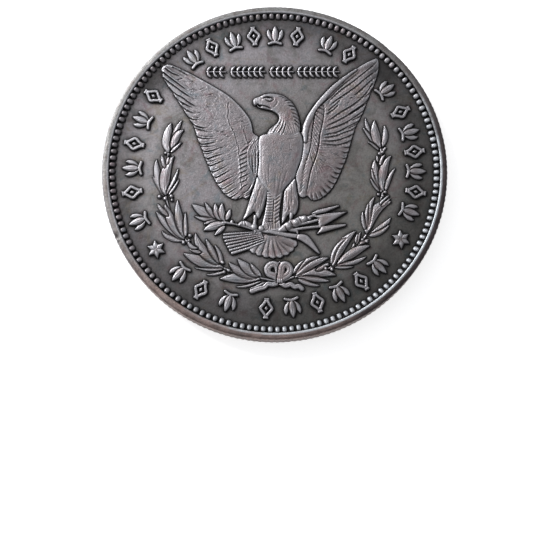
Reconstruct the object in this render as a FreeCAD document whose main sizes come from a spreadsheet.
import FreeCAD, Part
import math
import os
import Sketcher

# A struck challenge coin of silver-dollar size: a reeded, rimmed blank with an eagle, a
# laurel wreath and a beaded border in relief on its front, and a wreath and compass star on
# its back. Lengths are millimetres. The origin is the middle of the back rim's plane, +Z
# points out of the front, +Y to the top of the design.

Vector = FreeCAD.Vector

# ------------------------------------------------------------- driving dimensions
SIZES = [
    # blank: drop is from rim to field, slope is the width of the rim's inner bevel
    ("coin_dia", 38.1), ("coin_thick", 2.5), ("rim_drop", 0.38), ("rim_inner_rad", 18.27),
    ("rim_slope", 0.14), ("rim_round", 0.13),
    ("reed_count", 189), ("reed_depth", 0.11), ("reed_width", 0.40),
    # beads: half length is radial, half width goes round the ring, angle is in degrees
    ("bead_count", 148), ("bead_mid_rad", 17.86), ("bead_half_length", 0.36),
    ("bead_half_width", 0.225), ("bead_height", 0.25), ("bead_first_angle", -3.9),
    # heights of the relief layers
    ("low_step", 0.10), ("high_step", 0.09), ("wing_step", 0.13), ("feather_step", 0.10),
    ("body_step", 0.26), ("head_step", 0.28), ("crest_step", 0.06), ("leg_step", 0.24),
    ("foot_step", 0.30), ("tail_step", 0.15), ("arrow_step", 0.20), ("ornament_step", 0.17),
    ("rule_step", 0.13), ("bow_step", 0.24),
    # back devices
    ("compass_radius", 7.2), ("back_star_count", 20), ("back_star_ring_rad", 15.55),
    ("back_star_rad", 0.72),
]

# ------------------------------------------------------------- artwork
# Artwork is drawn on the coin's face as it is read: x to the right, y up, origin at the
# coin's centre. Left is -x and right is +x.

# leaves: (tip, bend point, base, half width)
WREATH_LEFT = [
    # lowest cluster, beside the bow
    ((-5.98, -12.36), (-3.7, -12.25), (-1.55, -12.38), 0.47),
    ((-4.25, -13.18), (-3.0, -13.15), (-1.45, -12.62), 0.14),
    ((-2.80, -13.42), (-2.0, -13.20), (-1.05, -12.72), 0.12),
    ((-4.98, -10.52), (-3.7, -11.55), (-1.75, -12.15), 0.42),
    ((-4.02, -10.12), (-3.0, -11.15), (-1.70, -12.10), 0.42),
    ((-2.62, -10.60), (-2.2, -11.25), (-1.40, -12.15), 0.24),
    # second cluster
    ((-9.90, -9.52), (-7.9, -10.45), (-5.55, -11.15), 0.50),
    ((-8.60, -7.25), (-7.9, -9.05), (-6.05, -10.75), 0.44),
    ((-7.50, -7.85), (-6.8, -9.25), (-5.90, -10.70), 0.28),
    ((-6.55, -8.60), (-5.95, -9.60), (-5.75, -10.70), 0.19),
    ((-8.78, -11.05), (-7.3, -11.35), (-5.60, -11.30), 0.13),
    ((-7.45, -11.88), (-6.4, -11.85), (-5.35, -11.50), 0.14),
    # third cluster
    ((-12.25, -6.95), (-11.5, -7.75), (-9.75, -8.10), 0.27),
    ((-12.95, -4.78), (-11.8, -6.25), (-9.85, -8.00), 0.36),
    ((-12.00, -3.98), (-11.2, -5.95), (-9.80, -7.95), 0.42),
    ((-10.62, -3.48), (-10.4, -5.75), (-9.75, -7.75), 0.38),
    ((-9.75, -4.88), (-9.70, -6.25), (-9.65, -7.65), 0.18),
    ((-12.80, -3.90), (-12.4, -4.60), (-11.55, -5.40), 0.24),
    ((-7.90, -9.45), (-8.6, -9.25), (-9.35, -8.65), 0.26),
    ((-8.30, -8.95), (-8.9, -8.85), (-9.40, -8.30), 0.18),
    # fourth cluster
    ((-13.42, -0.70), (-12.9, -1.80), (-12.10, -3.10), 0.16),
    ((-12.98, 1.15), (-12.85, -0.65), (-12.00, -3.00), 0.36),
    ((-11.05, 1.50), (-11.95, -0.50), (-11.90, -3.05), 0.46),
    ((-10.58, 0.08), (-11.0, -1.25), (-11.75, -2.90), 0.18),
    ((-10.48, -1.10), (-10.9, -2.00), (-11.60, -3.00), 0.13),
    ((-12.45, 1.60), (-12.3, 0.85), (-12.05, 0.05), 0.22),
    ((-11.62, 1.35), (-11.75, 0.95), (-11.85, 0.45), 0.14),
    # top cluster
    ((-12.30, 3.72), (-12.35, 2.85), (-11.90, 2.00), 0.13),
    ((-11.42, 5.30), (-11.85, 3.65), (-11.70, 1.80), 0.44),
    ((-10.25, 5.65), (-10.85, 4.40), (-11.30, 2.80), 0.27),
    ((-9.98, 4.45), (-10.75, 3.80), (-11.35, 2.20), 0.34),
    ((-10.20, 3.08), (-10.75, 2.55), (-11.45, 1.85), 0.14),
]
WREATH_RIGHT = [
    # lowest cluster, beside the bow
    ((6.70, -12.00), (4.5, -11.70), (2.20, -12.15), 0.44),
    ((6.05, -12.62), (4.4, -12.45), (2.50, -12.25), 0.27),
    ((4.95, -13.12), (3.8, -12.95), (2.55, -12.45), 0.19),
    ((5.95, -10.05), (4.0, -10.75), (2.30, -11.95), 0.38),
    ((5.00, -9.92), (3.4, -10.45), (2.15, -11.85), 0.22),
    ((3.25, -10.28), (2.6, -10.85), (2.00, -11.80), 0.15),
    ((5.78, -10.55), (5.2, -11.10), (4.45, -11.45), 0.22),
    # second cluster
    ((8.92, -7.05), (7.3, -8.70), (6.25, -11.00), 0.42),
    ((7.72, -7.92), (6.6, -9.10), (6.15, -10.70), 0.17),
    ((8.62, -8.25), (8.2, -9.60), (6.90, -10.75), 0.24),
    ((10.45, -8.72), (8.8, -9.35), (6.75, -10.90), 0.40),
    ((10.05, -9.85), (8.6, -10.55), (6.60, -11.05), 0.24),
    ((8.65, -10.98), (7.6, -11.15), (6.50, -11.10), 0.12),
    # third cluster
    ((12.85, -3.72), (10.9, -4.95), (10.00, -7.40), 0.50),
    ((12.72, -5.50), (11.9, -6.50), (10.40, -7.50), 0.30),
    ((11.02, -3.15), (10.35, -4.65), (10.10, -6.85), 0.28),
    ((10.28, -3.90), (10.05, -5.15), (9.95, -6.80), 0.17),
    ((9.62, -4.85), (9.65, -5.85), (9.85, -6.90), 0.17),
    ((12.55, -6.35), (11.6, -7.20), (10.30, -7.65), 0.19),
    ((9.42, -7.18), (9.10, -7.75), (8.90, -8.50), 0.16),
    ((9.05, -7.35), (8.90, -7.85), (8.80, -8.40), 0.12),
    ((10.30, -8.00), (9.85, -8.20), (9.30, -8.55), 0.17),
    # fourth cluster
    ((11.08, 1.05), (11.15, -0.80), (11.75, -2.75), 0.42),
    ((12.98, 1.50), (12.05, -0.10), (11.95, -2.60), 0.40),
    ((13.38, 0.08), (12.75, -0.90), (12.20, -2.50), 0.19),
    ((10.70, -0.05), (10.95, -1.30), (11.55, -2.60), 0.13),
    ((10.55, -1.08), (10.90, -1.85), (11.50, -2.65), 0.13),
    ((12.65, -3.05), (12.25, -3.35), (11.55, -4.10), 0.15),
    ((12.75, -3.35), (12.40, -3.70), (11.70, -4.35), 0.13),
    ((11.32, 1.50), (11.35, 1.15), (11.45, 0.70), 0.14),
    ((12.28, 1.62), (11.90, 1.10), (11.65, 0.35), 0.16),
    # top cluster
    ((10.10, 5.90), (10.45, 4.50), (11.35, 2.80), 0.25),
    ((9.80, 4.75), (10.55, 3.65), (11.60, 2.30), 0.18),
    ((11.15, 5.58), (11.20, 4.00), (11.75, 2.35), 0.40),
    ((12.18, 5.00), (12.30, 3.75), (11.95, 2.45), 0.27),
    ((10.30, 3.10), (10.90, 2.70), (11.55, 2.10), 0.13),
    ((12.42, 2.42), (12.25, 2.30), (12.00, 2.00), 0.14),
]
# berries: (x, y, radius)
WREATH_LEFT_BERRIES = [
    (-12.60, -3.20, 0.19), (-11.96, -3.42, 0.20), (-11.30, -3.15, 0.19), (-11.22, -3.58, 0.15),
    (-9.20, -7.58, 0.19), (-9.88, -8.36, 0.18), (-9.30, -8.12, 0.15),
    (-5.60, -10.58, 0.17), (-5.45, -11.62, 0.17), (-4.95, -11.45, 0.17),
    (-12.02, 1.78, 0.16), (-11.70, 1.62, 0.15),
]
WREATH_RIGHT_BERRIES = [
    (11.62, 1.68, 0.18), (11.98, 1.85, 0.15), (11.40, -2.98, 0.16), (12.15, -2.72, 0.17),
    (11.85, -3.15, 0.16), (9.55, -8.05, 0.16), (10.05, -8.25, 0.15), (5.72, -10.82, 0.17),
    (5.55, -11.25, 0.16), (6.20, -11.35, 0.17),
]
# stems: (x, y) from the bow upward
WREATH_LEFT_STEM = [
    (0.55, -12.72), (-1.4, -12.30), (-3.2, -12.05), (-5.2, -11.30), (-7.6, -10.10), (-9.6, -8.15),
    (-11.1, -5.60), (-11.9, -3.10), (-11.95, -0.60), (-11.75, 1.75), (-11.65, 2.7),
]
WREATH_RIGHT_STEM = [
    (0.60, -12.80), (2.2, -12.10), (4.0, -11.80), (6.15, -11.10), (8.0, -9.95), (9.75, -7.85),
    (11.1, -5.20), (11.85, -2.80), (12.0, -0.50), (11.8, 1.80), (11.75, 2.9),
]
STEM_HALF = 0.11

# ribbon bow: (half width, path) of its two loops, top band and two tails
BOW_BANDS = [
    (0.16, [(0.50, -12.45), (-0.05, -12.05), (-0.62, -11.80), (-0.78, -11.25), (-0.42, -10.82),
            (0.05, -10.80), (0.35, -11.20), (0.42, -11.75), (0.55, -12.40)]),
    (0.16, [(0.62, -12.45), (0.72, -11.75), (0.80, -11.15), (1.05, -10.80), (1.45, -10.92),
            (1.68, -11.40), (1.45, -11.90), (1.05, -12.15), (0.66, -12.45)]),
    (0.12, [(-0.35, -10.74), (0.25, -10.66), (0.80, -10.66), (1.30, -10.74)]),
    (0.15, [(0.45, -12.80), (-0.15, -12.98), (-0.75, -12.95), (-1.15, -13.30), (-1.75, -13.45),
            (-2.45, -13.72)]),
    (0.15, [(0.70, -12.82), (1.15, -13.12), (1.75, -12.98), (2.15, -13.25), (2.60, -13.18),
            (2.95, -13.45)]),
]
BOW_KNOT = (0.57, -12.60, 0.30)  # x, y, radius

# six-pointed stars: label, x, y, radius, turn in degrees
SIDE_STARS = [("star_left", -12.85, -9.10, 0.93, 100.0), ("star_right", 13.72, -8.02, 0.95, 94.0)]

# sprig held in the left foot, leaves as in the wreath
SPRIG = [
    ((-9.05, -4.02), (-7.9, -4.85), (-6.25, -5.80), 0.40),
    ((-8.85, -5.32), (-7.6, -5.78), (-5.55, -6.12), 0.20),
    ((-7.62, -3.80), (-7.1, -4.70), (-6.40, -5.65), 0.21),
    ((-6.48, -3.92), (-6.25, -5.00), (-5.55, -6.05), 0.29),
    ((-5.68, -3.88), (-5.75, -4.90), (-5.40, -6.00), 0.27),
    ((-4.82, -4.55), (-5.00, -5.20), (-5.28, -5.90), 0.21),
    ((-7.82, -6.35), (-7.0, -6.12), (-5.70, -6.20), 0.18),
    ((-7.75, -7.02), (-6.8, -6.60), (-5.35, -6.25), 0.33),
    ((-6.55, -7.58), (-6.1, -7.15), (-5.35, -6.50), 0.20),
]
SPRIG_BERRY = (-4.65, -6.03, 0.21)  # x, y, radius
# stalk: (x, y, half width)
SPRIG_STALK = [
    (-5.45, -6.10, 0.13), (-4.4, -6.30, 0.12), (-3.2, -6.62, 0.12), (-2.0, -7.00, 0.13),
    (-0.8, -7.18, 0.15), (0.6, -7.28, 0.18), (1.9, -7.66, 0.22), (3.0, -8.12, 0.25),
    (3.8, -8.70, 0.22), (4.42, -9.30, 0.15),
]

# arrows: shafts run from the fletching at lower left, behind the feet, to the heads
# vanes: (half width, path)
ARROW_VANES = [
    (0.17, [(-5.42, -7.28), (-3.4, -7.25), (-1.3, -7.08)]),
    (0.19, [(-5.50, -7.98), (-3.2, -7.72), (-0.6, -7.14)]),
    (0.18, [(-5.22, -8.48), (-3.0, -8.08), (-0.4, -7.28)]),
    (0.18, [(-4.85, -8.88), (-2.8, -8.42), (-0.2, -7.40)]),
    (0.17, [(-4.52, -9.28), (-2.4, -8.78), (-0.1, -7.52)]),
]
ARROW_SHAFT_HALF = 0.11
ARROW_SHAFTS = [
    [(-0.5, -7.06), (0.7, -6.78), (1.9, -6.20), (3.2, -5.75), (4.4, -5.30)],
    [(1.2, -6.72), (2.6, -6.38), (4.0, -6.05), (5.2, -5.72)],
    [(1.8, -6.98), (3.1, -6.78), (4.4, -6.62), (5.3, -6.55)],
]
ARROW_HEADS = [
    [(3.95, -4.78), (5.5, -4.45), (6.95, -4.12), (6.95, -4.35), (6.2, -4.62), (5.6, -4.86),
     (4.6, -4.98)],
    [(4.35, -5.02), (6.2, -4.95), (7.85, -4.86), (7.65, -5.12), (6.6, -5.55), (5.4, -6.12),
     (4.75, -6.48), (4.95, -5.85), (4.8, -5.45)],
    [(4.30, -7.32), (4.75, -6.80), (5.4, -6.42), (6.3, -6.12), (7.85, -6.22), (7.2, -6.52),
     (6.0, -6.82), (5.0, -7.18)],
]

# eagle: closed outlines, (x, y) points joined by a smooth curve
BODY = [
    (-0.75, 4.02), (-1.35, 3.86), (-1.66, 3.60), (-1.78, 3.10), (-1.80, 2.40), (-1.76, 1.40),
    (-1.76, 0.50), (-1.86, -0.30), (-1.88, -0.90), (-1.55, -1.65), (-1.10, -2.20),
    (-0.60, -2.90), (-0.25, -3.60), (0.30, -3.60), (0.62, -3.15), (1.00, -2.55), (1.60, -1.80),
    (2.20, -1.15), (2.42, -0.55), (2.62, 0.10), (2.90, 0.80), (3.06, 1.60), (3.18, 2.40),
    (3.18, 3.20), (3.00, 3.85), (2.70, 4.25), (1.80, 4.05), (0.90, 4.15), (0.10, 4.35),
]
BODY_CREST = [
    (-1.1, 3.2), (-1.3, 2.0), (-1.3, 0.5), (-1.2, -0.8), (-0.5, -1.9), (0.3, -2.6), (1.1, -1.6),
    (1.8, -0.4), (2.4, 1.0), (2.7, 2.4), (2.6, 3.2), (0.8, 2.9),
]
HEAD = [
    (-2.20, 7.22), (-2.36, 7.42), (-2.42, 7.70), (-2.34, 7.98), (-2.10, 8.20), (-1.75, 8.28),
    (-1.42, 8.46), (-1.08, 8.62), (-0.50, 8.70), (0.15, 8.66), (0.80, 8.50), (1.32, 8.26),
    (1.78, 7.88), (2.14, 7.44), (2.42, 6.92), (2.62, 6.35), (2.76, 5.75), (2.86, 5.15),
    (2.88, 4.60), (2.82, 4.18), (2.30, 3.55), (1.20, 3.25), (0.00, 3.40), (-0.75, 3.85),
    (-0.68, 4.25), (-0.42, 4.62), (-0.08, 4.92), (0.22, 5.18), (0.42, 5.50), (0.48, 5.85),
    (0.36, 6.15), (0.02, 6.44), (-0.45, 6.68), (-1.00, 6.80), (-1.55, 6.93), (-1.88, 7.10),
    (-1.98, 7.30), (-2.08, 7.26),
]
HEAD_CREST = [
    (-1.30, 8.20), (-0.3, 8.45), (0.8, 8.20), (1.6, 7.55), (2.1, 6.6), (2.4, 5.6), (2.4, 4.6),
    (1.4, 4.0), (0.6, 4.4), (0.8, 5.6), (0.4, 6.5), (-0.5, 7.05), (-1.1, 7.4),
]
WING_LEFT = [
    (-2.36, 4.15), (-2.42, 4.75), (-2.55, 5.35), (-2.80, 5.90), (-3.15, 6.40), (-3.65, 7.02),
    (-4.22, 7.65), (-4.85, 8.25), (-5.55, 8.78), (-6.50, 9.38), (-7.50, 9.98), (-8.50, 10.56),
    (-9.30, 11.00), (-10.20, 11.46), (-11.05, 11.86), (-11.75, 12.16), (-12.20, 12.12),
    (-12.58, 11.86), (-12.72, 11.45), (-12.55, 11.10), (-12.55, 10.70), (-12.20, 10.05),
    (-11.85, 9.55), (-11.40, 8.85), (-11.10, 8.30), (-10.60, 7.40), (-10.15, 6.85),
    (-9.75, 6.15), (-9.25, 5.40), (-8.92, 4.75), (-8.68, 3.90), (-8.40, 3.10), (-8.08, 2.30),
    (-7.70, 1.25), (-7.38, 0.50), (-7.10, -0.28), (-6.78, -0.95), (-6.42, -1.62),
    (-6.02, -2.20), (-5.60, -2.82), (-5.05, -3.28), (-4.40, -3.56), (-3.85, -3.46),
    (-3.45, -3.28), (-3.08, -3.52), (-2.72, -3.15), (-2.48, -2.50), (-2.20, -1.70),
    (-1.95, -0.90), (-1.80, 0.5), (-1.80, 2.5), (-1.70, 3.55), (-2.0, 3.85),
]
WING_RIGHT = [
    (3.05, 4.35), (3.12, 4.95), (3.36, 5.55), (3.72, 6.25), (4.22, 7.02), (4.82, 7.82),
    (5.52, 8.62), (6.22, 9.36), (7.02, 10.06), (7.82, 10.68), (8.72, 11.32), (9.52, 11.84),
    (10.35, 12.36), (11.15, 12.76), (11.58, 12.88), (11.76, 12.50), (11.78, 11.90),
    (11.66, 11.10), (11.42, 10.30), (11.06, 9.35), (10.66, 8.45), (10.26, 7.40), (9.90, 6.45),
    (9.45, 5.55), (9.05, 4.75), (8.80, 4.00), (8.55, 3.20), (8.34, 2.40), (8.10, 1.60),
    (7.84, 0.80), (7.50, 0.02), (7.20, -0.68), (6.88, -1.38), (6.48, -2.08), (5.98, -2.74),
    (5.32, -3.30), (4.60, -3.66), (4.00, -3.60), (3.60, -3.15), (3.30, -3.32), (2.85, -3.30),
    (2.58, -2.85), (2.46, -1.80), (2.30, -0.85), (2.70, 0.20), (3.00, 1.20), (3.16, 2.40),
    (3.18, 3.30), (2.98, 3.95),
]
LEG_LEFT = [
    (-1.90, -0.95), (-2.12, -1.60), (-2.32, -2.30), (-2.62, -3.20), (-2.92, -4.15),
    (-3.18, -5.00), (-3.50, -5.86), (-3.05, -5.62), (-2.55, -5.20), (-2.18, -4.95),
    (-2.02, -5.45), (-1.72, -5.72), (-1.42, -5.15), (-1.12, -4.45), (-0.98, -3.75),
    (-0.76, -2.90), (-0.72, -2.20), (-0.95, -1.75), (-1.40, -1.35),
]
LEG_RIGHT = [
    (2.24, -1.10), (2.38, -1.65), (2.48, -2.50), (2.62, -3.35), (2.64, -4.15), (2.52, -4.78),
    (2.22, -5.28), (1.78, -5.22), (1.42, -5.40), (1.16, -5.92), (0.76, -6.26), (0.82, -5.20),
    (0.92, -4.20), (0.98, -3.30), (1.10, -2.52), (1.60, -1.85),
]
TAIL = [
    (-0.62, -2.40), (-0.86, -3.80), (-1.12, -5.10), (-1.34, -6.30), (-1.70, -7.30),
    (-2.40, -8.20), (-3.20, -9.10), (-2.86, -9.50), (-2.25, -9.72), (-1.85, -9.98),
    (-1.40, -9.92), (-0.95, -10.12), (-0.50, -10.00), (-0.10, -10.14), (0.30, -10.05),
    (0.70, -10.10), (1.10, -9.86), (1.55, -9.78), (1.85, -9.42), (2.25, -9.05), (2.55, -8.48),
    (2.30, -8.00), (1.60, -7.30), (0.90, -6.80), (0.62, -6.20), (0.56, -5.00), (0.70, -3.90),
    (0.95, -2.80),
]

# talons: (half width, path), with a round pad (x, y, radius) where they meet
TALONS_LEFT = [
    (0.17, [(-2.05, -5.10), (-2.12, -5.80), (-2.20, -6.45)]),
    (0.22, [(-2.30, -6.15), (-2.95, -6.10), (-3.55, -6.22), (-3.95, -6.50)]),
    (0.24, [(-2.25, -6.35), (-2.42, -6.70), (-2.40, -7.02)]),
    (0.26, [(-2.00, -6.35), (-1.60, -6.55), (-1.35, -6.85)]),
]
TALONS_RIGHT = [
    (0.17, [(1.75, -5.15), (1.78, -5.60), (1.95, -6.00)]),
    (0.25, [(1.75, -6.10), (2.40, -5.92), (3.05, -5.62), (3.42, -5.55)]),
    (0.22, [(1.90, -6.00), (2.20, -6.40), (2.28, -6.72)]),
    (0.20, [(1.70, -6.05), (1.25, -6.35), (0.85, -6.75)]),
]
FOOT_PAD_LEFT = (-2.15, -6.20, 0.34)
FOOT_PAD_RIGHT = (1.85, -6.02, 0.34)

# feathers: (tip, bend point, root, half width). Later ones lie over earlier ones.
TAIL_FEATHERS = [
    ((-2.78, -9.32), (-1.6, -7.6), (-0.9, -5.2), 0.36),
    ((2.36, -8.55), (1.3, -7.3), (0.40, -5.6), 0.34),
    ((-1.92, -9.84), (-1.15, -7.8), (-0.75, -5.2), 0.38),
    ((1.86, -9.32), (1.05, -7.6), (0.40, -5.4), 0.36),
    ((-0.98, -10.04), (-0.65, -7.8), (-0.50, -4.6), 0.38),
    ((1.28, -9.76), (0.72, -7.8), (0.32, -4.8), 0.36),
    ((0.62, -10.02), (0.36, -7.8), (0.15, -4.2), 0.36),
    ((-0.16, -10.06), (-0.15, -7.8), (-0.20, -3.6), 0.38),
]
FLIGHT_LEFT = [
    ((-12.08, 12.06), (-9.3, 10.72), (-6.0, 8.55), 0.37),
    ((-12.58, 11.52), (-9.9, 9.98), (-6.6, 7.95), 0.37),
    ((-12.46, 10.72), (-10.0, 9.18), (-6.8, 7.35), 0.37),
    ((-11.90, 9.62), (-9.8, 8.32), (-6.9, 6.80), 0.37),
    ((-11.12, 8.40), (-9.3, 7.40), (-6.9, 6.25), 0.38),
    ((-10.28, 7.12), (-8.7, 6.55), (-6.7, 5.80), 0.36),
    ((-9.82, 6.28), (-8.2, 5.92), (-6.4, 5.40), 0.34),
    ((-9.34, 5.50), (-7.8, 5.25), (-6.1, 4.95), 0.34),
    ((-8.96, 4.72), (-7.4, 4.58), (-5.8, 4.45), 0.35),
    ((-8.66, 3.90), (-7.1, 3.88), (-5.4, 3.98), 0.36),
    ((-8.38, 3.10), (-6.8, 3.18), (-5.0, 3.50), 0.36),
    ((-8.06, 2.32), (-6.4, 2.52), (-4.6, 3.02), 0.36),
    ((-7.74, 1.34), (-6.0, 1.78), (-4.2, 2.46), 0.37),
    ((-7.40, 0.54), (-5.7, 1.08), (-4.0, 1.82), 0.36),
    ((-7.10, -0.22), (-5.5, 0.40), (-3.95, 1.20), 0.35),
    ((-6.78, -0.90), (-5.3, -0.25), (-3.9, 0.55), 0.35),
    ((-6.42, -1.56), (-5.1, -0.90), (-3.9, -0.10), 0.34),
    ((-6.00, -2.14), (-4.9, -1.50), (-3.9, -0.72), 0.34),
    ((-5.56, -2.74), (-4.7, -2.10), (-3.85, -1.32), 0.34),
    ((-5.00, -3.20), (-4.4, -2.60), (-3.7, -1.85), 0.34),
    ((-4.40, -3.46), (-4.05, -2.90), (-3.5, -2.20), 0.34),
    ((-3.84, -3.38), (-3.65, -2.95), (-3.3, -2.30), 0.30),
]
SHOULDER_LEFT = [
    ((-4.10, 1.46), (-3.5, 1.72), (-2.8, 2.15), 0.36),
    ((-4.10, 0.80), (-3.5, 1.06), (-2.8, 1.50), 0.36),
    ((-4.02, 0.14), (-3.5, 0.40), (-2.8, 0.85), 0.36),
    ((-4.00, -0.52), (-3.4, -0.26), (-2.8, 0.20), 0.36),
    ((-3.96, -1.18), (-3.4, -0.92), (-2.7, -0.45), 0.36),
    ((-3.90, -1.86), (-3.3, -1.58), (-2.6, -1.05), 0.36),
    ((-3.72, -2.50), (-3.2, -2.15), (-2.5, -1.60), 0.36),
    ((-3.14, -3.44), (-2.85, -2.85), (-2.45, -1.90), 0.24),
    ((-2.80, -3.10), (-2.58, -2.55), (-2.25, -1.60), 0.20),
    ((-2.92, -0.40), (-3.02, 0.60), (-2.75, 1.75), 0.27),
    ((-2.40, -1.70), (-2.45, -0.20), (-2.30, 1.40), 0.30),
    ((-3.12, 1.20), (-2.95, 2.20), (-2.35, 3.30), 0.30),
    ((-2.10, -0.60), (-2.15, 1.10), (-2.05, 3.30), 0.26),
    ((-2.62, 2.30), (-2.35, 3.00), (-1.95, 3.85), 0.22),
]
FLIGHT_RIGHT = [
    ((4.00, -3.52), (3.98, -2.90), (3.95, -2.10), 0.30),
    ((4.60, -3.58), (4.35, -2.85), (4.10, -1.90), 0.34),
    ((5.30, -3.22), (4.80, -2.50), (4.20, -1.55), 0.34),
    ((5.94, -2.66), (5.20, -1.95), (4.35, -1.10), 0.35),
    ((6.42, -2.02), (5.55, -1.35), (4.45, -0.60), 0.35),
    ((6.82, -1.32), (5.85, -0.75), (4.55, -0.10), 0.36),
    ((7.14, -0.62), (6.10, -0.12), (4.60, 0.40), 0.36),
    ((7.44, 0.08), (6.25, 0.50), (4.70, 0.92), 0.36),
    ((7.78, 0.84), (6.45, 1.15), (4.80, 1.42), 0.37),
    ((8.04, 1.62), (6.65, 1.80), (4.85, 1.92), 0.37),
    ((8.28, 2.42), (6.80, 2.50), (4.90, 2.42), 0.37),
    ((8.50, 3.20), (6.95, 3.15), (5.00, 2.90), 0.37),
    ((8.74, 4.00), (7.10, 3.80), (5.00, 3.35), 0.37),
    ((9.00, 4.76), (7.30, 4.42), (5.05, 3.75), 0.37),
    ((9.40, 5.54), (7.60, 5.05), (5.10, 4.15), 0.37),
    ((9.84, 6.44), (7.95, 5.75), (5.15, 4.55), 0.37),
    ((10.20, 7.40), (8.30, 6.50), (5.20, 4.95), 0.37),
    ((10.60, 8.42), (8.60, 7.25), (5.25, 5.35), 0.37),
    ((10.98, 9.34), (8.85, 7.98), (5.25, 5.80), 0.37),
    ((11.32, 10.26), (9.00, 8.70), (5.25, 6.25), 0.37),
    ((11.56, 11.08), (9.10, 9.40), (5.20, 6.75), 0.37),
    ((11.68, 11.86), (9.05, 10.05), (5.15, 7.25), 0.36),
    ((11.56, 12.66), (8.75, 10.78), (5.05, 7.70), 0.36),
]
SHOULDER_RIGHT = [
    ((3.42, -3.12), (3.98, -1.10), (4.35, 1.60), 0.30),
    ((2.86, -3.16), (3.30, -1.30), (3.85, 1.20), 0.30),
    ((2.62, -2.20), (2.90, -0.90), (3.45, 1.00), 0.24),
    ((4.10, 0.30), (4.45, 1.90), (4.60, 3.60), 0.28),
    ((3.60, -0.30), (3.80, 1.40), (3.95, 3.60), 0.28),
    ((3.10, 0.10), (3.35, 1.70), (3.50, 3.60), 0.24),
]

# centres of the border ornaments: (x, y)
BORDER_UPPER = [
    (-14.85, -5.95), (-15.60, -2.70), (-15.70, 0.05), (-15.50, 2.85), (-14.75, 5.60),
    (-13.50, 8.40), (-9.20, 12.90), (-7.00, 14.15), (-4.60, 14.95), (-2.30, 15.50),
    (0.10, 15.62), (2.60, 15.45), (6.10, 14.55), (8.45, 13.30), (12.55, 9.10), (14.05, 6.50),
    (15.05, 4.15), (15.50, 1.90), (15.62, -0.35), (15.50, -2.70), (14.80, -4.95),
]
BORDER_LOWER = [
    (-10.35, -11.75), (-7.95, -13.55), (-5.00, -14.90), (-0.90, -15.60), (1.90, -15.52),
    (4.60, -14.95), (7.05, -13.95), (9.35, -12.65), (11.30, -11.00),
]

# leafy rule above the eagle: its height and the (start x, end x) of its sprigs
RULE_Y = 11.25
RULE_SPRIGS = [(-7.55, -5.45), (-4.85, -1.05), (-0.45, 2.15), (2.65, 7.25)]
RULE_STEM_HALF = 0.075
RULE_LEAF_PITCH = 0.62

# back wreath: radius of the stems, and how far leaf tips and bends stand off them
BRANCH_RAD = 11.45
BRANCH_TIP_OFF = 1.5
BRANCH_BEND_OFF = 1.05
BRANCH_BERRY_RAD = 12.35

# ------------------------------------------------------------- drawing tolerances
BLADE_STEPS = 9         # pieces along a leaf or feather
RIBBON_STEPS = 4        # pieces between two stations of a ribbon
TRAIL_STEPS = 2         # the same for a trail
SAME_POINT = 0.004      # points nearer than this are one
LEAST_FACE = 0.01       # smaller faces are slivers left by a boolean
LEAST_LOOP = 0.012      # smaller sketch outlines are left out
LEAST_GAP = 0.02        # shortest side, and least gap between outlines, in a sketch
FEATHER_INSET = 0.05    # feathers and their region are drawn in by this
CROWN_INSET = 0.055     # the crown of a small device is drawn in by this


# ------------------------------------------------------------- points and curves
def gap(p, q):
    return math.hypot(p[0] - q[0], p[1] - q[1])


def sides(loop):
    """The straight sides of a closed loop, as pairs of points."""
    return list(zip(loop, loop[1:] + loop[:1]))


def signed_area(loop):
    return 0.5 * sum(a[0] * b[1] - b[0] * a[1] for a, b in sides(loop))


def catmull(points, steps, closed=False):
    """A Catmull-Rom curve through points, in steps pieces from each point to the next."""
    count = len(points)
    out = []
    for i in range(count if closed else count - 1):
        p1, p2 = points[i], points[(i + 1) % count]
        if closed:
            p0, p3 = points[i - 1], points[(i + 2) % count]
        else:
            p0 = points[i - 1] if i > 0 else tuple(2 * a - b for a, b in zip(p1, p2))
            p3 = points[i + 2] if i + 2 < count else tuple(2 * a - b for a, b in zip(p2, p1))
        for k in range(steps):
            t = k / steps
            out.append(tuple(
                0.5 * (2 * b + (c - a) * t + (2 * a - 5 * b + 4 * c - d) * t * t
                       + (3 * b - a - 3 * c + d) * t ** 3)
                for a, b, c, d in zip(p0, p1, p2, p3)))
    if not closed:
        out.append(points[-1])
    return out


def bent_spine(tip, bend, base, steps):
    """steps + 1 points from base to tip on the parabola that passes bend half way."""
    control = tuple(2 * b - 0.5 * (a + d) for a, b, d in zip(base, bend, tip))
    return [tuple((1 - t) ** 2 * a + 2 * t * (1 - t) * b + t * t * d
                  for a, b, d in zip(base, control, tip))
            for t in (k / steps for k in range(steps + 1))]


def leaf_width(t):
    """Half width of a leaf at share t of its length, as a share of its nominal half width."""
    return (t ** 0.62) * ((1 - t) ** 0.80) * 2.62 if 0 < t < 1 else 0.0


def feather_width(t):
    """The same for a feather: narrower at the root, then even, with a round tip."""
    root = min(1.0, 0.55 + 0.45 * t / 0.5)
    tip = math.sqrt(max(0.0, 1 - max(0.0, (t - 0.86) / 0.14) ** 2))
    return root * tip


# ------------------------------------------------------------- flat faces
def face_of(points):
    """The flat face inside a polygon, drawn counter-clockwise."""
    loop = []
    for p in points:
        if not loop or gap(p, loop[-1]) > SAME_POINT:
            loop.append(p)
    if gap(loop[0], loop[-1]) < SAME_POINT:
        loop.pop()
    if signed_area(loop) < 0:
        loop.reverse()
    return Part.Face(Part.makePolygon([Vector(*p) for p in loop + loop[:1]]))


def outline(points, steps):
    """The face inside a smooth closed curve through points."""
    return face_of(catmull(points, steps, closed=True))


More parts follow.
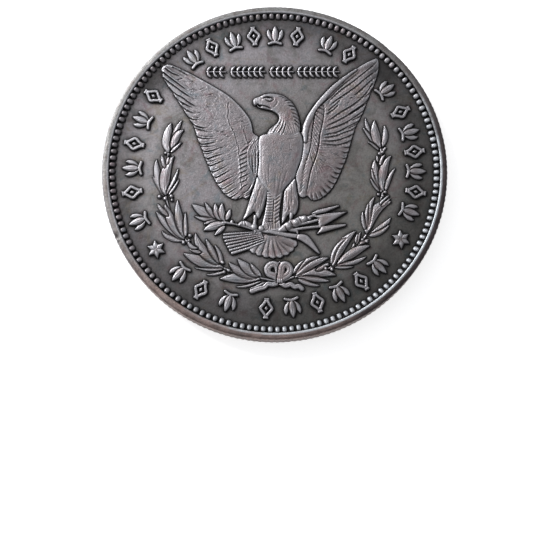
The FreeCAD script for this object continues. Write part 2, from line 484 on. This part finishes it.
def band(stations):
    """A strip along stations of (x, y, half width)."""
    left, right = [], []
    last = len(stations) - 1
    for k, (x, y, half) in enumerate(stations):
        before, after = stations[max(0, k - 1)], stations[min(last, k + 1)]
        run = gap(before, after) or 1.0
        nx, ny = -(after[1] - before[1]) / run, (after[0] - before[0]) / run
        left.append((x + nx * half, y + ny * half))
        right.append((x - nx * half, y - ny * half))
    return face_of(left + right[::-1])


def blade(tip, bend, base, half, profile, shrink=0.0):
    """A leaf or feather: its spine runs base to tip, its width follows profile."""
    spine = bent_spine(tip, bend, base, BLADE_STEPS)
    return band([(x, y, max(0.0, half * profile(k / BLADE_STEPS) - shrink))
                 for k, (x, y) in enumerate(spine)])


def even(path, half):
    """Stations of one half width along a path."""
    return [(x, y, half) for x, y in path]


def ribbon(stations):
    """A smooth band through stations."""
    return band(catmull(stations, RIBBON_STEPS))


def trail(path, half):
    """An even band along a path that may close on itself or turn sharply."""
    points = catmull(even(path, half), TRAIL_STEPS)
    bits = []
    for a, b in zip(points, points[1:]):
        # the joint disc is a hair smaller than the band, so their edges do not touch
        bits += [band([a, b]), disc(b[0], b[1], b[2] * 0.999, sides_round=10)]
    return union(bits)


def disc(x, y, radius, sides_round=12):
    turns = [2 * math.pi * k / sides_round for k in range(sides_round)]
    return face_of([(x + radius * math.cos(a), y + radius * math.sin(a)) for a in turns])


def star(x, y, radius, inner, points, turn):
    """A star; inner is its notch radius as a share of radius, turn is in degrees."""
    loop = []
    for k in range(2 * points):
        r = radius if k % 2 == 0 else radius * inner
        a = math.radians(turn) + math.pi * k / points
        loop.append((x + r * math.cos(a), y + r * math.sin(a)))
    return face_of(loop)


def only_big(flat, least=0.05):
    return [f for f in flat if abs(f.Area) > least]


def faces(shape):
    return only_big(shape.Faces, LEAST_FACE)


def union(flat):
    if len(flat) == 1:
        return flat
    return faces(flat[0].fuse(flat[1:]).removeSplitter())


def less(flat, cutters):
    """What is left of each face once every cutter whose box it meets is taken out of it."""
    out = []
    for f in flat:
        near = [c for c in cutters if f.BoundBox.intersect(c.BoundBox)]
        out += faces(f.cut(near)) if near else [f]
    return out


def shingle(flat):
    """Each face without the parts that later faces lie over."""
    out = []
    for i, f in enumerate(flat):
        out += less([f], flat[i + 1:])
    return out


def common(flat, region):
    out = []
    for f in flat:
        for g in region:
            if f.BoundBox.intersect(g.BoundBox):
                out += faces(f.common(g))
    return out


def drawn_in(flat, inset):
    """Flat faces drawn in by inset all round."""
    out = []
    for f in flat:
        # The offset fails on faces too thin for it: a lone face then stays whole, one of
        # several is left out.
        try:
            out += faces(f.makeOffset2D(-inset))
        except Exception:
            out += [f] if len(flat) == 1 else []
    return out


def feathers(items, region):
    """The visible part of each feather, a little smaller than the feather, inside region."""
    whole = [blade(*item, feather_width) for item in items]
    small = [blade(*item, feather_width, shrink=FEATHER_INSET) for item in items]
    out = []
    for i, f in enumerate(small):
        out += less([f], whole[i + 1:])
    return only_big(common(out, drawn_in(region, FEATHER_INSET)))


# ------------------------------------------------------------- sketch outlines
def tidy(loop):
    """The loop without short sides or spikes, split where it pinches itself."""
    points = []
    for p in loop:
        if not points or gap(p, points[-1]) > LEAST_GAP:
            points.append(p)
    while len(points) > 2 and gap(points[0], points[-1]) <= LEAST_GAP:
        points.pop()
    if len(points) < 3:
        return []
    kept = []
    for k, p in enumerate(points):
        a, b = points[k - 1], points[(k + 1) % len(points)]
        u, v = (p[0] - a[0], p[1] - a[1]), (b[0] - p[0], b[1] - p[1])
        bend = (u[0] * v[1] - u[1] * v[0]) / max(1e-9, math.hypot(*u) * math.hypot(*v))
        doubles_back = u[0] * v[0] + u[1] * v[1] < 0 and abs(bend) < 0.05
        if not doubles_back:
            kept.append(p)
    count = len(kept)
    if count < 3 or abs(signed_area(kept)) < LEAST_LOOP:
        return []
    for i in range(count):
        for j in range(i + 2, count):
            if (i, j) == (0, count - 1):
                continue
            if gap(kept[i], kept[j]) < LEAST_GAP:
                large, small = kept[i:j], kept[j:] + kept[:i]
                if abs(signed_area(large)) < abs(signed_area(small)):
                    large, small = small, large
                return tidy(large) + tidy(small[1:])
    return [kept]


def reach(p, a, b):
    """Distance from p to the straight side a b."""
    dx, dy = b[0] - a[0], b[1] - a[1]
    t = ((p[0] - a[0]) * dx + (p[1] - a[1]) * dy) / (dx * dx + dy * dy)
    t = max(0.0, min(1.0, t))
    return math.hypot(p[0] - a[0] - t * dx, p[1] - a[1] - t * dy)


def sides_near(loop, others):
    """The sides of other loops that come into the box round loop."""
    x0, x1 = min(p[0] for p in loop) - LEAST_GAP, max(p[0] for p in loop) + LEAST_GAP
    y0, y1 = min(p[1] for p in loop) - LEAST_GAP, max(p[1] for p in loop) + LEAST_GAP
    return [(a, b) for other in others for a, b in sides(other)
            if min(a[0], b[0]) < x1 and max(a[0], b[0]) > x0
            and min(a[1], b[1]) < y1 and max(a[1], b[1]) > y0]


def clean_loops(flat):
    """The outlines of flat faces, tidied, largest first, with no two of them touching."""
    loops = []
    for f in flat:
        for w in f.Wires:
            loops += tidy([(v.X, v.Y) for v in w.OrderedVertexes])
    loops.sort(key=lambda loop: -abs(signed_area(loop)))
    done = []
    for loop in loops:
        near = sides_near(loop, done)
        cx = sum(p[0] for p in loop) / len(loop)
        cy = sum(p[1] for p in loop) / len(loop)
        moved = []
        for p in loop:
            if any(reach(p, a, b) < LEAST_GAP for a, b in near):
                # draw the point toward the loop's middle, or drop it if still too near
                d = math.hypot(cx - p[0], cy - p[1]) or 1.0
                p = (p[0] + (cx - p[0]) / d * 1.6 * LEAST_GAP,
                     p[1] + (cy - p[1]) / d * 1.6 * LEAST_GAP)
                if any(reach(p, a, b) < 0.5 * LEAST_GAP for a, b in near):
                    continue
            moved.append(p)
        if len(moved) < 3:
            continue
        if any(reach(corner, a, b) < 0.3 * LEAST_GAP
               for a, b in sides(moved) for corner, _ in near):
            continue
        done += tidy(moved)
    return done


# ------------------------------------------------------------- document
doc = FreeCAD.newDocument("challenge_coin")
sheet = doc.addObject("Spreadsheet::Sheet", "Sizes")
sheet.set("A1", "name")
sheet.set("B1", "value, mm, degrees or a count")
for row, (name, value) in enumerate(SIZES, start=2):
    sheet.set("A%d" % row, name)
    sheet.set("B%d" % row, str(value))
    sheet.setAlias("B%d" % row, name)
doc.recompute()

bodies = []


def size(name):
    return float(sheet.get(name))


def new_body(label):
    body = doc.addObject("PartDesign::Body", "Body_" + label)
    body.Label = label
    body.AllowCompound = True
    bodies.append(body)
    return body


def place(body, front):
    """Put the body's own XY plane on the front field, or turned over on the back field."""
    if front:
        body.setExpression(".Placement.Base.z", "Sizes.coin_thick - Sizes.rim_drop")
    else:
        turned = FreeCAD.Rotation(Vector(0, 1, 0), 180)
        body.Placement = FreeCAD.Placement(Vector(0, 0, 0), turned)
        body.setExpression(".Placement.Base.z", "Sizes.rim_drop")


def new_sketch(body, name, role="XY_Plane", lift=None):
    sk = body.newObject("Sketcher::SketchObject", name)
    plane = next(f for f in body.Origin.OriginFeatures if f.Role == role)
    sk.AttachmentSupport = [(plane, "")]
    sk.MapMode = "FlatFace"
    if lift:
        sk.setExpression(".AttachmentOffset.Base.z", lift)
    return sk


def draw_loop(sk, loop):
    sk.addGeometry([Part.LineSegment(Vector(*a), Vector(*b)) for a, b in sides(loop)], False)


def join_loop(sk, count):
    """Tie the ends of a sketch's first count lines together into a loop."""
    for k in range(count):
        sk.addConstraint(Sketcher.Constraint("Coincident", k, 2, (k + 1) % count, 1))


def draw_faces(sk, flat):
    for loop in clean_loops(flat):
        draw_loop(sk, loop)


def pad(body, name, sk, step):
    feature = body.newObject("PartDesign::Pad", name)
    feature.Profile = sk
    feature.setExpression("Length", "Sizes." + step)
    sk.Visibility = False
    body.Tip = feature
    return feature


def polar_pattern(body, name, feature, sk, count):
    """Repeat a feature all round the coin's axis."""
    pattern = body.newObject("PartDesign::PolarPattern", name)
    pattern.Originals = [feature]
    pattern.Axis = (sk, ["N_Axis"])
    pattern.Angle = 360.0
    pattern.setExpression("Occurrences", "Sizes." + count)
    body.Tip = pattern


def relief(label, flat, step, front=True):
    """A device of one height standing on the field."""
    body = new_body(label)
    sk = new_sketch(body, label + "_outline")
    draw_faces(sk, flat)
    pad(body, label + "_pad", sk, step)
    place(body, front)
    return body


def stepped_relief(label, flat, step, upper, upper_step, front=True):
    """A device with a second, smaller layer on top of the first."""
    body = relief(label, flat, step, front)
    sk = new_sketch(body, label + "_upper_outline", lift="Sizes." + step)
    draw_faces(sk, upper)
    doc.recompute()
    pad(body, label + "_upper_pad", sk, upper_step)


def topped_relief(label, flat, front=True):
    """Separate small devices, the larger ones with a crown drawn in from the outline."""
    base = [face_of(loop) for loop in clean_loops(only_big(flat, 0.02))]
    upper = []
    for f in only_big(base, 0.12):
        for g in drawn_in([f], CROWN_INSET):
            # a crown counts only if it lies on its own base
            if g.Area > 0.03 and f.common(g).Area > 0.98 * g.Area:
                upper.append(g)
    stepped_relief(label, base, "low_step", upper, "high_step", front)


# ------------------------------------------------------------- the blank
def blank_profile(body):
    """Half section of the blank in the XZ plane, fully dimensioned from the sheet."""
    radius, thick = size("coin_dia") / 2, size("coin_thick")
    drop, slope, inner = size("rim_drop"), size("rim_slope"), size("rim_inner_rad")
    sk = new_sketch(body, "blank_profile", "XZ_Plane")
    draw_loop(sk, [(0, drop), (inner - slope, drop), (inner, 0), (radius, 0), (radius, thick),
                   (inner, thick), (inner - slope, thick - drop), (0, thick - drop)])
    (back_field, back_slope, back_rim, edge,
     front_rim, front_slope, front_field, axis) = range(8)
    start, end = 1, 2
    origin = (-1, 1)
    x_axis, y_axis = -1, -2

    join_loop(sk, 8)
    for line in (back_field, back_rim, front_rim, front_field):
        sk.addConstraint(Sketcher.Constraint("Horizontal", line))
    for line in (edge, axis):
        sk.addConstraint(Sketcher.Constraint("Vertical", line))
    sk.addConstraint(Sketcher.Constraint("PointOnObject", axis, start, y_axis))
    # kind, from (line, end), to (line, end), value, name, expression
    dimensions = [
        ("DistanceX", origin, (edge, end), radius, "outer_radius", "Sizes.coin_dia / 2"),
        ("DistanceX", origin, (back_rim, start), inner, "rim_inner", "Sizes.rim_inner_rad"),
        ("DistanceX", (back_slope, start), (back_slope, end), slope, "slope_back",
         "Sizes.rim_slope"),
        ("DistanceX", (front_slope, end), (front_slope, start), slope, "slope_front",
         "Sizes.rim_slope"),
        ("DistanceX", origin, (front_rim, end), inner, "rim_inner_front",
         "Sizes.rim_inner_rad"),
        ("DistanceY", (edge, start), (edge, end), thick, "thickness", "Sizes.coin_thick"),
        ("DistanceY", origin, (back_field, start), drop, "drop_back", "Sizes.rim_drop"),
        ("DistanceY", (front_field, end), (front_rim, end), drop, "drop_front",
         "Sizes.rim_drop"),
    ]
    for kind, first, second, value, name, expression in dimensions:
        index = sk.addConstraint(Sketcher.Constraint(kind, *first, *second, value))
        sk.renameConstraint(index, name)
        sk.setExpression("Constraints." + name, expression)
    sk.addConstraint(Sketcher.Constraint("PointOnObject", back_rim, start, x_axis))
    doc.recompute()
    return sk


def make_blank():
    body = new_body("coin_blank")
    sk = blank_profile(body)
    turned = body.newObject("PartDesign::Revolution", "blank_revolution")
    turned.Profile = sk
    turned.ReferenceAxis = (sk, ["V_Axis"])
    turned.Angle = 360.0
    body.Tip = turned
    doc.recompute()

    # round the two outermost circles
    radius = size("coin_dia") / 2
    rim_edges = ["Edge%d" % k for k, e in enumerate(turned.Shape.Edges, start=1)
                 if e.Curve.TypeId == "Part::GeomCircle" and abs(e.Curve.Radius - radius) < 1e-6]
    rounding = body.newObject("PartDesign::Fillet", "rim_rounding")
    rounding.Base = (turned, rim_edges)
    rounding.setExpression("Radius", "Sizes.rim_round")
    body.Tip = rounding
    doc.recompute()

    # one reed: a V groove along the edge, its mouth carried past the coin, then repeated
    depth, width, past = size("reed_depth"), size("reed_width"), 0.4
    mouth = width / 2 * (depth + past) / depth
    groove = new_sketch(body, "reed_profile")
    draw_loop(groove, [(radius - depth, 0), (radius + past, -mouth), (radius + past, mouth)])
    join_loop(groove, 3)
    doc.recompute()
    reed = body.newObject("PartDesign::Pocket", "reed")
    reed.Profile = groove
    reed.Type = "Length"
    reed.setExpression("Length", "Sizes.coin_thick + 1")
    reed.Reversed = True  # cut toward +Z, up through the coin
    body.Tip = reed
    doc.recompute()
    polar_pattern(body, "reeding", reed, groove, "reed_count")
    doc.recompute()


# ------------------------------------------------------------- bead rings
def bead_ring(label, front):
    """A ring of oval beads, each tapering to a smaller oval crown."""
    body = new_body(label)
    angle = math.radians(size("bead_first_angle"))
    ux, uy = math.cos(angle), math.sin(angle)
    cx, cy = size("bead_mid_rad") * ux, size("bead_mid_rad") * uy
    profiles = []
    for name, share, lift in (("foot", 1.0, None), ("crown", 0.55, "Sizes.bead_height")):
        sk = new_sketch(body, "%s_%s" % (label, name), lift=lift)
        length, width = size("bead_half_length") * share, size("bead_half_width") * share
        major = Vector(cx + length * ux, cy + length * uy)
        minor = Vector(cx - width * uy, cy + width * ux)
        sk.addGeometry(Part.Ellipse(major, minor, Vector(cx, cy)), False)
        profiles.append(sk)
    doc.recompute()
    bead = body.newObject("PartDesign::AdditiveLoft", label + "_bead")
    bead.Profile = profiles[0]
    bead.Sections = [profiles[1]]
    bead.Ruled = True
    body.Tip = bead
    doc.recompute()
    polar_pattern(body, label + "_ring", bead, profiles[0], "bead_count")
    place(body, front)


# ------------------------------------------------------------- eagle, sprig and arrows
def foot(talons, foot_pad):
    return union([ribbon(even(path, half)) for half, path in talons] + [disc(*foot_pad)])


def make_eagle():
    """The eagle with what it holds. What lies in front is cut out of what lies behind."""
    foot_l = foot(TALONS_LEFT, FOOT_PAD_LEFT)
    foot_r = foot(TALONS_RIGHT, FOOT_PAD_RIGHT)
    feet = foot_l + foot_r
    sprig = shingle([ribbon(SPRIG_STALK), disc(*SPRIG_BERRY)]
                    + [blade(*leaf, leaf_width) for leaf in SPRIG])
    arrows = shingle([ribbon(even(path, ARROW_SHAFT_HALF)) for path in ARROW_SHAFTS]
                     + [face_of(points) for points in ARROW_HEADS]
                     + [ribbon(even(path, half)) for half, path in ARROW_VANES])
    sprig = less(sprig, feet)
    arrows = less(arrows, feet + sprig)
    leg_l = less([outline(LEG_LEFT, 3)], foot_l + sprig + arrows)
    leg_r = less([outline(LEG_RIGHT, 3)], foot_r + sprig + arrows)
    head = [outline(HEAD, 2)]
    trunk = less([outline(BODY, 3)], head + leg_l + leg_r + feet)
    tail = less([outline(TAIL, 2)], trunk + leg_l + leg_r + feet + sprig + arrows)
    wing_l = less([outline(WING_LEFT, 2)], head + trunk + leg_l + tail)
    wing_r = less([outline(WING_RIGHT, 2)], head + trunk + leg_r + tail)

    stepped_relief("eagle_head", head, "head_step", [outline(HEAD_CREST, 3)], "crest_step")
    stepped_relief("eagle_body", trunk, "body_step",
                   common([outline(BODY_CREST, 3)], trunk), "crest_step")
    stepped_relief("eagle_wing_left", only_big(wing_l), "wing_step",
                   feathers(FLIGHT_LEFT + SHOULDER_LEFT, wing_l), "feather_step")
    stepped_relief("eagle_wing_right", only_big(wing_r), "wing_step",
                   feathers(FLIGHT_RIGHT + SHOULDER_RIGHT, wing_r), "feather_step")
    relief("eagle_leg_left", only_big(leg_l), "leg_step")
    relief("eagle_leg_right", only_big(leg_r), "leg_step")
    relief("eagle_foot_left", foot_l, "foot_step")
    relief("eagle_foot_right", foot_r, "foot_step")
    stepped_relief("eagle_tail", only_big(tail), "tail_step",
                   feathers(TAIL_FEATHERS, tail), "crest_step")
    topped_relief("leaf_sprig", sprig)
    relief("arrow_bundle", only_big(arrows, 0.02), "arrow_step")


# ------------------------------------------------------------- wreaths, bow and stars
def wreath(label, leaves, berries, stem, cutters=(), front=True):
    pieces = shingle([ribbon(even(stem, STEM_HALF))]
                     + [blade(*leaf, leaf_width) for leaf in leaves]
                     + [disc(*berry) for berry in berries])
    topped_relief(label, less(pieces, cutters), front)


def make_front_wreath():
    bits = []
    for half, path in BOW_BANDS:
        bits += trail(path, half)
    bow = union(bits + [disc(*BOW_KNOT)])
    wreath("wreath_left", WREATH_LEFT, WREATH_LEFT_BERRIES, WREATH_LEFT_STEM, bow)
    wreath("wreath_right", WREATH_RIGHT, WREATH_RIGHT_BERRIES, WREATH_RIGHT_STEM, bow)
    relief("ribbon_bow", bow, "bow_step")


def make_side_stars():
    for label, x, y, radius, turn in SIDE_STARS:
        stepped_relief(label,
                       [star(x, y, radius, inner=0.56, points=6, turn=turn)], "ornament_step",
                       [star(x, y, radius * 0.6, inner=0.5, points=6, turn=turn)], "crest_step")


# ------------------------------------------------------------- border and rule
def outward_frame(x, y):
    """A function from (outward, counter-clockwise) offsets about (x, y) to coin points."""
    up = math.atan2(y, x)
    ux, uy = math.cos(up), math.sin(up)
    return lambda out, across: (x + ux * out - uy * across, y + uy * out + ux * across)


def lozenge(at):
    """An open lozenge with a small solid one in its middle."""
    def diamond(out, across):
        return face_of([at(out, 0), at(0, across), at(-out, 0), at(0, -across)])
    return faces(diamond(0.92, 0.62).cut(diamond(0.56, 0.36))) + [diamond(0.24, 0.16)]


def palmette(at):
    """Three leaves on a curved foot."""
    parts = [blade(at(0.92, 0), at(0.1, 0), at(-0.62, 0), 0.27, leaf_width)]
    for s in (1, -1):
        parts.append(blade(at(0.50, 0.66 * s), at(0.02, 0.50 * s), at(-0.60, 0.08 * s),
                           0.21, leaf_width))
    parts.append(ribbon(even([at(-0.84, -0.50), at(-0.66, 0), at(-0.84, 0.50)], 0.13)))
    return union(parts)


def make_border(label, centres):
    """Palmettes and lozenges in turn."""
    flat = []
    for k, centre in enumerate(centres):
        flat += (lozenge if k % 2 else palmette)(outward_frame(*centre))
    relief(label, flat, "ornament_step")


def make_rule():
    """Short level sprigs above the eagle's head, with leaves in pairs above and below."""
    flat = []
    for x0, x1 in RULE_SPRIGS:
        stem = [(x0, RULE_Y), ((x0 + x1) / 2, RULE_Y), (x1, RULE_Y)]
        parts = [ribbon(even(stem, RULE_STEM_HALF))]
        count = max(3, int(round((x1 - x0) / RULE_LEAF_PITCH)))
        for k in range(count):
            x = x0 + (x1 - x0) * (k + 0.15) / count
            for s in (1, -1):
                parts.append(blade((x + 0.52, RULE_Y + 0.62 * s), (x + 0.16, RULE_Y + 0.38 * s),
                                   (x, RULE_Y), 0.15, leaf_width))
        flat += union(parts)
    relief("leafy_rule", flat, "rule_step")


# ------------------------------------------------------------- back devices
def back_branch(side):
    """Leaves, berries and stem of a laurel branch from the bottom up one side (-1 or 1)."""
    def at(radius, degrees):
        a = math.radians(degrees)
        return (side * radius * math.sin(a), -radius * math.cos(a))

    leaves, berries = [], []
    for k in range(12):
        a = 12 + 11.5 * k
        for way in (1, -1):
            leaves.append((at(BRANCH_RAD + way * BRANCH_TIP_OFF, a + 15),
                           at(BRANCH_RAD + way * BRANCH_BEND_OFF, a + 6),
                           at(BRANCH_RAD, a), 0.42))
        if k % 2:
            berries.append(at(BRANCH_BERRY_RAD, a + 3) + (0.2,))
    # the leaf that ends the branch bends slightly inward
    leaves.append((at(BRANCH_RAD, 162), at(BRANCH_RAD - 0.1, 155), at(BRANCH_RAD, 146), 0.40))
    stem = [at(BRANCH_RAD, a) for a in range(5, 150, 8)]
    return leaves, berries, stem


def make_compass():
    """Two crossed four-pointed stars, a ring and a hub, with a small star on the hub."""
    radius = size("compass_radius")
    rose = union([star(0, 0, radius, inner=0.22, points=4, turn=90),
                  star(0, 0, radius * 0.66, inner=0.34, points=4, turn=45)])
    hub = disc(0, 0, 1.5, sides_round=40)
    ring = disc(0, 0, 4.1, sides_round=72).cut(disc(0, 0, 3.55, sides_round=72))
    rose = union(rose + faces(ring) + [hub])
    stepped_relief("back_compass_star", rose, "ornament_step",
                   [star(0, 0, 1.25, inner=0.5, points=8, turn=90)], "crest_step", front=False)


def make_back_stars():
    body = new_body("back_star_ring")
    sk = new_sketch(body, "back_star_outline")
    draw_faces(sk, [star(size("back_star_ring_rad"), 0, size("back_star_rad"),
                         inner=0.42, points=5, turn=0)])
    one = pad(body, "back_star", sk, "ornament_step")
    doc.recompute()
    polar_pattern(body, "back_star_pattern", one, sk, "back_star_count")
    place(body, front=False)


# ------------------------------------------------------------- build
make_blank()
bead_ring("front_bead_ring", front=True)
make_eagle()
make_front_wreath()
make_side_stars()
make_border("border_ornaments_upper", BORDER_UPPER)
make_border("border_ornaments_lower", BORDER_LOWER)
make_rule()
bead_ring("back_bead_ring", front=False)
wreath("back_wreath_left", *back_branch(-1), front=False)
wreath("back_wreath_right", *back_branch(1), front=False)
make_compass()
make_back_stars()
doc.recompute()

# ------------------------------------------------------------- check and export
bad = [o.Label for o in doc.Objects if "Invalid" in o.State or "Error" in o.State]
for body in bodies:
    shape = body.Shape
    if shape.isNull() or not shape.isValid() or not shape.Solids:
        bad.append(body.Label + " shape")
    elif not all(solid.isClosed() for solid in shape.Solids):
        bad.append(body.Label + " has an open solid")
if bad:
    raise RuntimeError("failed: " + ", ".join(bad))

os.makedirs("parts", exist_ok=True)
for body in bodies:
    body.Shape.exportStep("parts/%s.step" % body.Label)
